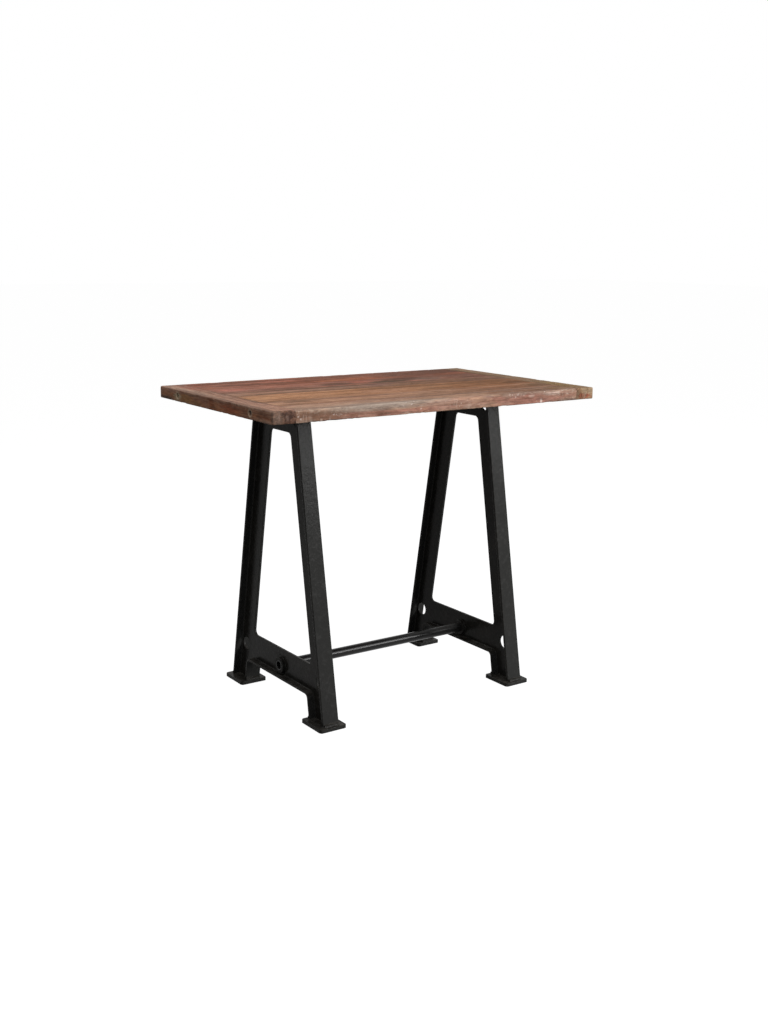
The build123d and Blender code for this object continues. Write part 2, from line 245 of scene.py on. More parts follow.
patinaFit = {
    "patch": (((2.2, 13.0, 13.0), 4.0, 0.55, 0.6), 0.44, 0.60),
    "band": (((1.5, 31.0, 31.0), 4.0, 0.62, 0.5), 0.49, 0.62),
    "dash": (((5.5, 52.0, 52.0), 3.0, 0.6, 0.4), 0.55, 0.66),
    "cloud": (((9.0, 16.0, 16.0), 5.0, 0.6, 0.4), 0.40, 0.66),
    "streak": (((2.8, 115.0, 115.0), 4.0, 0.66, 0.25), 0.44, 0.66),
    "mottle": (((26.0, 150.0, 150.0), 4.0, 0.72, 0.4), 0.28, 0.72),
    "crackLine": ((0.9, 42.0, 42.0), 2.0, 0.5, 0.3),
    "crackWidth": (0.011, 0.002),
    "crackSome": (((1.7, 8.0, 8.0), 2.0), 0.56, 0.66),
    "scuff": (((34.0, 190.0, 190.0), 5.0, 0.65, 0.9), 0.54, 0.66),
    "scuffSome": (((5.0, 22.0, 22.0), 2.0), 0.46, 0.66),
    "saw": (((110.0, 12.0, 24.0), 3.0, 0.6, 0.3), 0.50, 0.66),
    "sawSome": (((6.0, 30.0, 30.0), 3.0), 0.44, 0.64),
    "sawSway": ((4.0, 14.0, 14.0), 3.0),
    "sawSwayBy": (0.07, 0.0, 0.0),
    "speckPull": ((150.0,) * 3, 4.0, 0.65),
    "speckPullBy": (0.020, 0.012, 0.016),
    "specksPerMetre": 70.0,
    "speckSize": (0.26, 0.08),
    "speckSome": (((26.0,) * 3, 3.0), 0.52, 0.60),
}


def makePatina():
    tree, into = newGroup("patina", place="Vector")
    place, fit = into["place"], patinaFit

    def mark(label):
        return markOf(tree, place, *fit[label])

    results = {label: mark(label) for label in ("patch", "band", "dash", "cloud", "streak", "mottle")}
    # a crack is the thin line where a slow noise passes its middle value, on some stretches only
    off = maths(tree, "ABSOLUTE", maths(tree, "SUBTRACT", noiseOf(tree, place, *fit["crackLine"]), 0.5))
    line = stepBetween(tree, off, *fit["crackWidth"])
    sway = vectorMaths(tree, "MULTIPLY", noiseOf(tree, place, *fit["sawSway"]), fit["sawSwayBy"])
    across = markOf(tree, vectorMaths(tree, "ADD", place, sway), *fit["saw"])
    # a speck is the middle of a cell, pulled out of round by a fine noise
    pull = vectorMaths(tree, "MULTIPLY", noiseOf(tree, place, *fit["speckPull"]), fit["speckPullBy"])
    cells = addNode(tree, "ShaderNodeTexVoronoi")
    feed(tree, cells.inputs["Vector"], vectorMaths(tree, "ADD", place, pull))
    cells.inputs["Scale"].default_value = fit["specksPerMetre"]
    near = stepBetween(tree, cells.outputs["Distance"], *fit["speckSize"])
    for label, whole in (("crack", line), ("scuff", mark("scuff")), ("saw", across), ("speck", near)):
        results[label] = maths(tree, "MULTIPLY", whole, mark(label + "Some"))
    return closeGroup(tree, results)


# One stain: full in the middle of an ellipsoid, ragged and drawn out along the grain towards its border; on
# iron the same spot places painted shade and painted light

spotFit = {
    "ragged": ((22.0, 60.0, 60.0), 5.0, 0.62, 0.4),
    "raggedBy": 1.2,
    "drawn": ((5.0, 85.0, 85.0), 4.0, 0.6, 0.3),
    "drawnBy": 1.6,
    "border": (1.25, 0.45),    # in half sizes of the stain
}


def makeStainAndPaintedLightSpot():
    tree, into = newGroup("stainAndPaintedLightSpot", place="Vector", grain="Vector", centre="Vector", size="Vector")
    off = vectorMaths(tree, "SUBTRACT", into["place"], into["centre"])
    reach = vectorMaths(tree, "LENGTH", vectorMaths(tree, "DIVIDE", off, into["size"]))
    for label in ("ragged", "drawn"):
        swing = maths(tree, "SUBTRACT", noiseOf(tree, into["grain"], *spotFit[label]), 0.5)
        reach = addUp(tree, reach, [(swing, spotFit[label + "By"])])
    return closeGroup(tree, {"mask": stepBetween(tree, reach, *spotFit["border"])})


# Cast or drawn iron under paint: blotches, lumps, sand grain and pits

skinFit = {
    "blotch": ((11.0,) * 3, 5.0, 0.6, 0.3),
    "lump": ((75.0,) * 3, 3.0, 0.6, 0.3),
    "sand": ((420.0,) * 3, 4.0, 0.65),
    "pit": (((170.0,) * 3, 3.0, 0.5), 0.66, 0.74),
}


def makeCastSkin():
    tree, into = newGroup("castSkin", place="Vector")
    results = {label: noiseOf(tree, into["place"], *skinFit[label]) for label in ("blotch", "lump", "sand")}
    results["pit"] = markOf(tree, into["place"], *skinFit["pit"])
    return closeGroup(tree, results)


# Rubbed edges, where a small rounding would turn the surface; dust on what lies flat, which also paints a
# highlight on upward faces; faces to front and back, for a painted sheen

rubFit = {
    "radius": 2.2 * mm,
    "samples": 6,
    "turned": (0.015, 0.16),
    "rubbed": (((55.0,) * 3, 4.0, 0.65), 0.40, 0.62),
    "upward": (0.55, 0.95),
    "settled": (((30.0,) * 3, 5.0, 0.65), 0.34, 0.70),
    # outward: faces turned to front or back, which get a painted sheen
    "outward": (0.70, 0.97),
}


def makeEdgeRub():
    tree, into = newGroup("edgeRub", place="Vector")
    place, fit = into["place"], rubFit
    rounded = addNode(tree, "ShaderNodeBevel", samples=fit["samples"])
    rounded.inputs["Radius"].default_value = fit["radius"]
    normal = addNode(tree, "ShaderNodeNewGeometry").outputs["Normal"]
    along = vectorMaths(tree, "DOT_PRODUCT", rounded.outputs["Normal"], normal)
    turned = stepBetween(tree, maths(tree, "SUBTRACT", 1.0, along), *fit["turned"])
    axes = addNode(tree, "ShaderNodeSeparateXYZ")
    tree.links.new(normal, axes.inputs[0])
    upward = stepBetween(tree, axes.outputs["Z"], *fit["upward"])
    outward = maths(tree, "ABSOLUTE", axes.outputs["Y"])
    return closeGroup(tree, {
        "edge": maths(tree, "MULTIPLY", turned, markOf(tree, place, *fit["rubbed"])),
        # dust on upward faces; it also stands in as a painted highlight where light falls from above
        "dust": maths(tree, "MULTIPLY", upward, markOf(tree, place, *fit["settled"])),
        # face: front and back faces, the mask of the painted sheen
        "face": stepBetween(tree, outward, *fit["outward"]),
    })


grainFigure, patina, stainAndPaintedLightSpot = makeGrainFigure(), makePatina(), makeStainAndPaintedLightSpot()
castSkin, edgeRub = makeCastSkin(), makeEdgeRub()
print("shader groups built")


# Mesh work for the boards and the pipe

latticeSize = (512, 128)


def smoothNoise(u, v, cell, seed):
    # random numbers on a lattice, blended between by the smooth step curve: -1 to 1
    rows, columns = latticeSize
    lattice = np.random.default_rng(seed).uniform(-1, 1, latticeSize)
    gu, gv = u / cell[0], v / cell[1]
    iu, iv = np.floor(gu).astype(int), np.floor(gv).astype(int)
    fu, fv = gu - iu, gv - iv
    fu, fv = fu * fu * (3 - 2 * fu), fv * fv * (3 - 2 * fv)
    u0, u1, v0, v1 = iu % rows, (iu + 1) % rows, iv % columns, (iv + 1) % columns
    low = lattice[u0, v0] * (1 - fu) + lattice[u1, v0] * fu
    high = lattice[u0, v1] * (1 - fu) + lattice[u1, v1] * fu
    return low * (1 - fv) + high * fv


def faceOutward(mesh):
    work = bmesh.new()
    work.from_mesh(mesh)
    bmesh.ops.recalc_face_normals(work, faces=work.faces)
    work.to_mesh(mesh)
    work.free()


def meshFromRings(name, rings):
    # rings is stations x points round x 3: quads between neighbouring rings, one polygon on each end
    stations, around = rings.shape[:2]
    index = np.arange(stations * around).reshape(stations, around)
    ahead = np.roll(index, -1, axis=1)
    quads = np.stack([index[:-1], ahead[:-1], ahead[1:], index[1:]], -1).reshape(-1, 4)
    ends = [index[0, ::-1].tolist(), index[-1].tolist()]
    mesh = bpy.data.meshes.new(name)
    mesh.from_pydata(rings.reshape(-1, 3), [], quads.tolist() + ends)
    faceOutward(mesh)
    return mesh


def newObject(name, data):
    obj = bpy.data.objects.new(name, data)
    bpy.context.scene.collection.objects.link(obj)
    return obj


def roundRings(axis, middle, stations, radii, sides):
    # circles of the given radii set at stations along an axis (0 x, 1 y, 2 z), about a middle line
    angle = np.linspace(0, 2 * np.pi, sides, endpoint=False)
    stations, radii = np.asarray(stations, float), np.asarray(radii, float)
    rings = np.empty((len(stations), sides, 3))
    one, two = [k for k in (0, 1, 2) if k != axis]
    rings[:, :, axis] = stations[:, None]
    rings[:, :, one] = middle[0] + radii[:, None] * np.cos(angle)
    rings[:, :, two] = middle[1] + radii[:, None] * np.sin(angle)
    return rings


def boxRings(low, high):
    # a four-cornered profile carried straight from one end to the other
    (x0, y0, z0), (x1, y1, z1) = low, high
    ring = np.array([[y0, z0], [y1, z0], [y1, z1], [y0, z1]])
    return np.stack([np.column_stack([np.full(4, x), ring]) for x in (x0, x1)])


def carve(obj, cutters):
    # takes each cutter's space out of the piece, one after the other
    for rings in cutters:
        tool = newObject("cutter", meshFromRings("cutter", rings))
        step = obj.modifiers.new("carve", "BOOLEAN")
        step.operation, step.solver, step.object = "DIFFERENCE", "MANIFOLD", tool
        view = bpy.context.evaluated_depsgraph_get()
        carved = bpy.data.meshes.new_from_object(obj.evaluated_get(view))
        obj.modifiers.clear()
        old, obj.data = obj.data, carved
        carved.name = old.name
        bpy.data.meshes.remove(old)
        bpy.data.meshes.remove(tool.data)


sharpAngle = 38    # degrees between faces, past which an edge stays sharp


def finishMesh(obj):
    mesh = obj.data
    mesh.materials.clear()
    mesh.polygons.foreach_set("material_index", np.zeros(len(mesh.polygons), np.int32))
    mesh.polygons.foreach_set("use_smooth", np.ones(len(mesh.polygons), bool))
    mesh.set_sharp_from_angle(angle=math.radians(sharpAngle))
    mesh.update()


# Boards of the top

boardFit = {
    "step": 4.5 * mm,          # spacing of the stations along a board
    "acrossStep": 5 * mm,      # and of the points across it
    "arcPoints": 5,            # points inside each rounded corner
    "sidePoints": 9,           # points up each side
    "endPoints": 5,            # rings round each end
    "tongueRoom": 0.2 * mm,    # groove beyond its tongue
    "grooveRun": 0.6 * mm,     # a plank's groove runs on into the end groove
    "boltSpread": 490 * mm,
    "boltHole": 4.1 * mm,      # radius
    "boltSides": 32,
    "boltReach": 56.2 * mm,    # into the planks
    "wellRadius": 8 * mm,
    "wellDepth": 14 * mm,
    "wellFlare": 2.4 * mm,     # worn mouth of the well
    "mouthDepth": 3.2 * mm,
    "mouthRings": 7,
    "wellSides": 56,
    "screwHole": 3.1 * mm,
    "screwSides": 24,
    "screwReach": 31.2 * mm,
    "screwAcross": 15.25 * mm,
    "screwAlong": 108 * mm,
    "frameAt": 386 * mm,
    "cutPast": 1 * mm,         # cutters start this far outside the wood
}
boardSkin = {                  # a noise: shares, cells in metres along the grain and round the board, seeds
    "edge": ((0.65, (0.11, 1), 0), (0.35, (0.026, 1), 10)),
    "edgeSwing": 0.6,
    "wave": ((1.0, (0.17, 0.045), 20), (0.4, (0.035, 0.012), 21)),
    "waveTop": 1.4,            # its shares together
    "dent": ((1.0, (0.030, 0.016), 22),),
    "dentFrom": 0.72,
    "chip": ((0.55, (0.034, 0.020), 23), (0.45, (0.012, 0.008), 24)),
    "chipFrom": 0.22,
    "chipRise": 0.35,
    "chipReach": 6 * mm,
    "chipLeast": 2 * mm,       # edges rounded by less than this have no chips
    "roundShare": 1.7,         # how far the height counts in the way round
}
topHigh = Vector(cadBox[1])
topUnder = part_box("top_plank_1")[0].z
boltHeight = (topUnder + topHigh.z) / 2


def skinNoise(label, u, v, seed):
    return sum(share * smoothNoise(u, v, cell, seed + own) for share, cell, own in boardSkin[label])


def boardRings(low, high, along, shape):
    # rounded rectangle carried along the grain; the corner radii wander with the length, and waves,
    # dents and edge chips push the skin inwards along its own normal
    run, cross = (0, 1) if along == "x" else (1, 0)
    length, width, thick = high[run] - low[run], high[cross] - low[cross], high[2] - low[2]
    halfWide, halfThick = width / 2, thick / 2
    seed, endRound, skin = shape["seed"], shape["endRound"], boardSkin
    turn = np.linspace(0, np.pi / 2, boardFit["endPoints"])
    endAt, endIn = endRound * (1 - np.cos(turn)), endRound * (1 - np.sin(turn))
    stations = int(length / boardFit["step"])
    middle = np.linspace(low[run] + endRound, high[run] - endRound, stations)[1:-1]
    s = np.concatenate([low[run] + endAt, middle, high[run] - endAt[::-1]])
    inset = np.concatenate([endIn, np.zeros(len(middle)), endIn[::-1]])

    radii = []
    for corner, (least, most) in enumerate(shape["corners"]):
        wander = skinNoise("edge", s, s * 0, seed + corner)
        radii.append((least + (most - least) * np.clip(0.5 + skin["edgeSwing"] * wander, 0, 1))[:, None])
    r0, r1, r2, r3 = radii
    wide = np.linspace(0, 1, int(width / boardFit["acrossStep"]))
    tall = np.linspace(0, 1, boardFit["sidePoints"])
    arc = np.linspace(0, np.pi / 2, boardFit["arcPoints"] + 2)[1:-1]
    sin, cos, one = np.sin(arc), np.cos(arc), np.ones_like(s)[:, None]

    def between(start, stop, share):
        return start + (stop - start) * share

    # top, back corner, back, lower back corner, under, lower front corner, front, front corner
    a = [between(r0 - halfWide, halfWide - r1, wide), halfWide - r1 + r1 * sin, one * halfWide + 0 * tall,
         halfWide - r2 + r2 * cos, between(halfWide - r2, r3 - halfWide, wide), r3 - halfWide - r3 * sin,
         -one * halfWide + 0 * tall, r0 - halfWide - r0 * cos]
    b = [one * halfThick + 0 * wide, halfThick - r1 + r1 * cos, between(halfThick - r1, r2 - halfThick, tall),
         r2 - halfThick - r2 * sin, -one * halfThick + 0 * wide, r3 - halfThick - r3 * cos,
         between(r3 - halfThick, halfThick - r0, tall), halfThick - r0 + r0 * sin]
    na = [0 * wide, sin, 1 + 0 * tall, cos, 0 * wide, -sin, -1 + 0 * tall, -cos]
    nb = [1 + 0 * wide, cos, 0 * tall, -sin, -1 + 0 * wide, -cos, 0 * tall, sin]
    a, b, na, nb = np.hstack(a), np.hstack(b), np.concatenate(na), np.concatenate(nb)

    grid = np.broadcast_to(s[:, None], a.shape)
    around = a + skin["roundShare"] * b
    depth = 0.5 * shape["wave"] * (skin["waveTop"] + skinNoise("wave", grid, around, seed))
    dents = skinNoise("dent", grid, around, seed) - skin["dentFrom"]
    depth = depth + shape["dent"] * np.clip(dents / (1 - skin["dentFrom"]), 0, 1)
    chip = np.clip((skinNoise("chip", grid, around, seed) - skin["chipFrom"]) / skin["chipRise"], 0, 1)
    for corner, (ca, cb) in enumerate(((-1, 1), (1, 1), (1, -1), (-1, -1))):
        away = (a - ca * halfWide) ** 2 + (b - cb * halfThick) ** 2
        chips = shape["chip"] * (shape["corners"][corner][1] > skin["chipLeast"])
        depth = depth + chips * np.exp(-away / skin["chipReach"] ** 2) * chip

    # towards an end the profile draws in: about its middle, or about the side that a joint holds
    fixed = shape["hold"] * halfWide
    a = fixed + (a - na * depth - fixed) * (1 - inset / (halfWide * (1 + abs(shape["hold"]))))[:, None]
    b = (b - nb * depth) * (1 - inset / halfThick)[:, None]
    rings = np.empty((*a.shape, 3))
    rings[..., run] = grid
    rings[..., cross] = a + (low[cross] + high[cross]) / 2
    rings[..., 2] = b + (low[2] + high[2]) / 2
    return rings


def grooveFor(tongue):
    # the tongue's box with room all round; a plank's groove reaches into the groove across its end
    low, high = (np.array(v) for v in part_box(tongue))
    room = np.full(3, boardFit["tongueRoom"])
    if tongue.startswith("plank"):
        room[0] = boardFit["grooveRun"]
    return boxRings(low - room, high + room)


def boltHoles():
    # straight bores from each end of the top into the planks, with a flared well where the head lies
    cutters, fit = [], boardFit
    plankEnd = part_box("top_plank_1")[1].x
    rise = np.linspace(0, 1, fit["mouthRings"])
    reach = fit["wellRadius"] + fit["wellFlare"] * (1 - rise) ** 2
    widths = np.concatenate([[reach[0]], reach, [fit["wellRadius"]]])
    for side in (-1, 1):
        face = side * topHigh.x
        outside = face + side * fit["cutPast"]
        deep = side * (plankEnd - fit["boltReach"])
        mouth = face - side * (fit["mouthDepth"] * rise)
        stations = np.concatenate([[outside], mouth, [face - side * fit["wellDepth"]]])
        for turn in (-1, 1):
            middle = (turn * fit["boltSpread"] / 2, boltHeight)
            cutters.append(roundRings(0, middle, [outside, deep], [fit["boltHole"]] * 2, fit["boltSides"]))
            cutters.append(roundRings(0, middle, stations, widths, fit["wellSides"]))
    return cutters


def screwHoles():
    # pilot holes from below for the screws through the castings' top plates
    fit = boardFit
    ends = [topUnder - fit["cutPast"], topUnder + fit["screwReach"]]
    spots = [(side * fit["frameAt"] + stepX * fit["screwAcross"], stepY * fit["screwAlong"])
             for side in (-1, 1) for stepX in (-1, 1) for stepY in (-1, 1)]
    return [roundRings(2, spot, ends, [fit["screwHole"]] * 2, fit["screwSides"]) for spot in spots]


def overlaps(rings, low, high):
    flat = rings.reshape(-1, 3)
    return np.all(flat.max(0) > np.array(low)) and np.all(flat.min(0) < np.array(high))


allCutters = [grooveFor(name) for name in sorted(nodes) if "tongue" in name] + boltHoles() + screwHoles()

markFit = {                    # how far each mark reaches
    "wear": 9 * mm,
    "side": 5 * mm,
    "seam": 1.6 * mm,
    "seamInside": 0.5 * mm,    # a seam lies this much further from the outer edges than from its own
    "rimAt": 10 * mm,          # radius about the bolt
    "rimWide": 2.8 * mm,
    "rimDeep": 4 * mm,
    "wellWide": 9.2 * mm,
    "wellDeep": 6 * mm,
}


def markBoard(obj, low, high):
    # wear: near the outer edges of the top; side: on the outer sides; seam: near the board's own joints;
    # rim: at the bolts; well: painted shade down inside the bolt wells. Most fall off as the exponential of
    # the distance over the mark's reach
    mesh, fit = obj.data, markFit
    co = np.empty(len(mesh.vertices) * 3)
    mesh.vertices.foreach_get("co", co)
    co = co.reshape(-1, 3)
    low, high = np.array(low), np.array(high)
    outer = np.array([topHigh.x, topHigh.y, topHigh.z - boltHeight]) - np.abs(co - [0.0, 0.0, boltHeight])
    own = (high - low) / 2 - np.abs(co - (high + low) / 2)

    def edgeAway(inside):
        # distance to the nearest edge of a box, from the distances inside its faces
        return np.sqrt(np.sum(np.sort(np.clip(inside, 0, None), axis=1)[:, :2] ** 2, axis=1))

    edgeOuter, edgeOwn = edgeAway(outer), edgeAway(own)
    faceIn = np.clip(outer[:, 0], 0, None)
    radial = np.hypot(np.abs(co[:, 1]) - boardFit["boltSpread"] / 2, co[:, 2] - boltHeight)
    marks = {
        "wear": np.exp(-edgeOuter / fit["wear"]),
        "side": np.exp(-np.clip(outer[:, :2].min(1), 0, None) / fit["side"]),
        "seam": np.exp(-edgeOwn / fit["seam"]) * (edgeOuter - edgeOwn > fit["seamInside"]),
        "rim": np.exp(-faceIn / fit["rimDeep"]) * np.exp(-((radial - fit["rimAt"]) / fit["rimWide"]) ** 2),
        # well: painted shade inside each bolt well, darker deeper in
        "well": (radial < fit["wellWide"]) * np.clip(outer[:, 0] / fit["wellDeep"], 0, 1),
    }
    for label, values in marks.items():
        layer = mesh.attributes.new(label, "FLOAT", "POINT")
        layer.data.foreach_set("value", np.ascontiguousarray(values, dtype=np.float32))


boardFinish = {                # what is the same on every board
    "fibre": (0.36, 0.66), "fibreShow": 0.42, "poreShow": 0.50,
    "crack": (44, 30, 24), "crackShow": 0.85,
    "inside": 0.25,            # saw marks and specks away from the outer sides
    "rubbed": (0.05, 0.7),
    "speck": (214, 198, 188),
    "seam": (58, 42, 34), "seamShow": 0.14,
    "rim": (200, 184, 160), "rimShow": 0.55,
    # well: the colour of the painted shade inside the bolt wells
    "well": (84, 66, 52), "wellShow": 0.55,
    "rough": 0.62, "roughCloud": 0.12, "roughFibre": 0.14, "shine": 0.05,
    "bump": 0.6, "bumpDepth": 0.6 * mm,
    "fibreHigh": 0.55, "ringHigh": 0.35, "poreDeep": 0.5, "scuffDeep": 0.25, "sawDeep": 0.2, "crackDeep": 1.0,
}


def boardMaterial(name, look, along):
    material, tree, shader = newMaterial(name)
    fit, here = boardFinish, objectPlace(tree)
    mapping = addNode(tree, "ShaderNodeMapping")
    mapping.inputs["Location"].default_value = look["shift"]
    if along == "y":
        mapping.inputs["Rotation"].default_value = (0.0, 0.0, -math.pi / 2)
    tree.links.new(here, mapping.inputs["Vector"])
    place = mapping.outputs["Vector"]
    rings = {key: look[key] for key in ("ringGap", "heart", "sway")}
    figure = useGroup(tree, grainFigure, place=place, **rings)
    use = useGroup(tree, patina, place=place)
    mark = {}
    for label in ("wear", "side", "seam", "rim", "well"):
        mark[label] = addNode(tree, "ShaderNodeAttribute", attribute_name=label).outputs["Fac"]

    colour = coat(tree, paint(*look["early"]), figure["ring"], look["ringShow"], look["late"])
    for label in ("patch", "cloud"):
        colour = coat(tree, colour, use[label], look[label + "Show"], look[label])
    for centreAt, size, tint, amount in look["stainsAndPaintedLight"]:
        spot = useGroup(tree, stainAndPaintedLightSpot, place=here, grain=place, centre=centreAt, size=size)["mask"]
        colour = coat(tree, colour, spot, amount, tint)
    for label, tone in (("band", "dark"), ("dash", "dark"), ("streak", "late")):
        colour = coat(tree, colour, use[label], look[label + "Show"], look[tone])
    colour = blend(tree, look["mottleShow"], colour, use["mottle"], "OVERLAY")
    fibre = stepBetween(tree, figure["fibre"], *fit["fibre"])
    colour = coat(tree, colour, fibre, fit["fibreShow"], look["pale"], "SOFT_LIGHT")
    colour = coat(tree, colour, figure["pore"], fit["poreShow"], look["dark"])
    colour = coat(tree, colour, use["crack"], fit["crackShow"], fit["crack"])
    outside = addUp(tree, fit["inside"], [(mark["side"], 1 - fit["inside"])])
    saw = maths(tree, "MULTIPLY", use["saw"], outside)
    rubbed = maths(tree, "MULTIPLY", mark["wear"], stepBetween(tree, use["cloud"], *fit["rubbed"]))
    for label, mask in (("scuff", use["scuff"]), ("saw", saw), ("wear", rubbed)):
        colour = coat(tree, colour, mask, look[label + "Show"], look["pale"])
    specks = maths(tree, "MULTIPLY", use["speck"], outside)
    colour = coat(tree, colour, specks, look["speckShow"], fit["speck"])
    for label in ("seam", "rim", "well"):
        colour = coat(tree, colour, mark[label], fit[label + "Show"], fit[label])
    tree.links.new(colour, shader.inputs["Base Color"])

    dry = [(use["cloud"], fit["roughCloud"]), (figure["fibre"], fit["roughFibre"])]
    tree.links.new(addUp(tree, fit["rough"], dry), shader.inputs["Roughness"])
    shader.inputs["Specular IOR Level"].default_value = fit["shine"]
    relief = [(figure["fibre"], fit["fibreHigh"]), (figure["ring"], fit["ringHigh"]),
              (figure["pore"], -fit["poreDeep"]), (use["scuff"], -fit["scuffDeep"]),
              (saw, -fit["sawDeep"]), (use["crack"], -fit["crackDeep"])]
    bump(tree, shader, addUp(tree, 0.0, relief), fit["bump"], fit["bumpDepth"])
    return material


joint = (0.4 * mm, 0.7 * mm)
soft = (3.4 * mm, 6.0 * mm)
under = (2.6 * mm, 4.2 * mm)

# what the boards share; each one then has its own colours, figure and stains
woodShape = {"corners": (joint, joint, joint, joint), "endRound": 0.4 * mm, "hold": 0, "wave": 0.4 * mm,
             "dent": 0.6 * mm, "chip": 0.0}
woodLook = {"pale": (206, 170, 146), "patchShow": 0.6, "cloudShow": 0.35, "bandShow": 0.55, "dashShow": 0.6,
            "streakShow": 0.55, "mottleShow": 0.36, "ringShow": 0.65, "scuffShow": 0.2, "sawShow": 0.08,
            "speckShow": 0.1, "wearShow": 0.3, "stainsAndPaintedLight": []}
topStain = (1.05, 0.05)    # height and half height of a stain on the top face


def onTop(*spots):
    # stains of the top face alone leave out what they share
    z, halfZ = topStain
    return [((x, y, z), (halfX, halfY, halfZ), tint, amount) for x, y, halfX, halfY, tint, amount in spots]


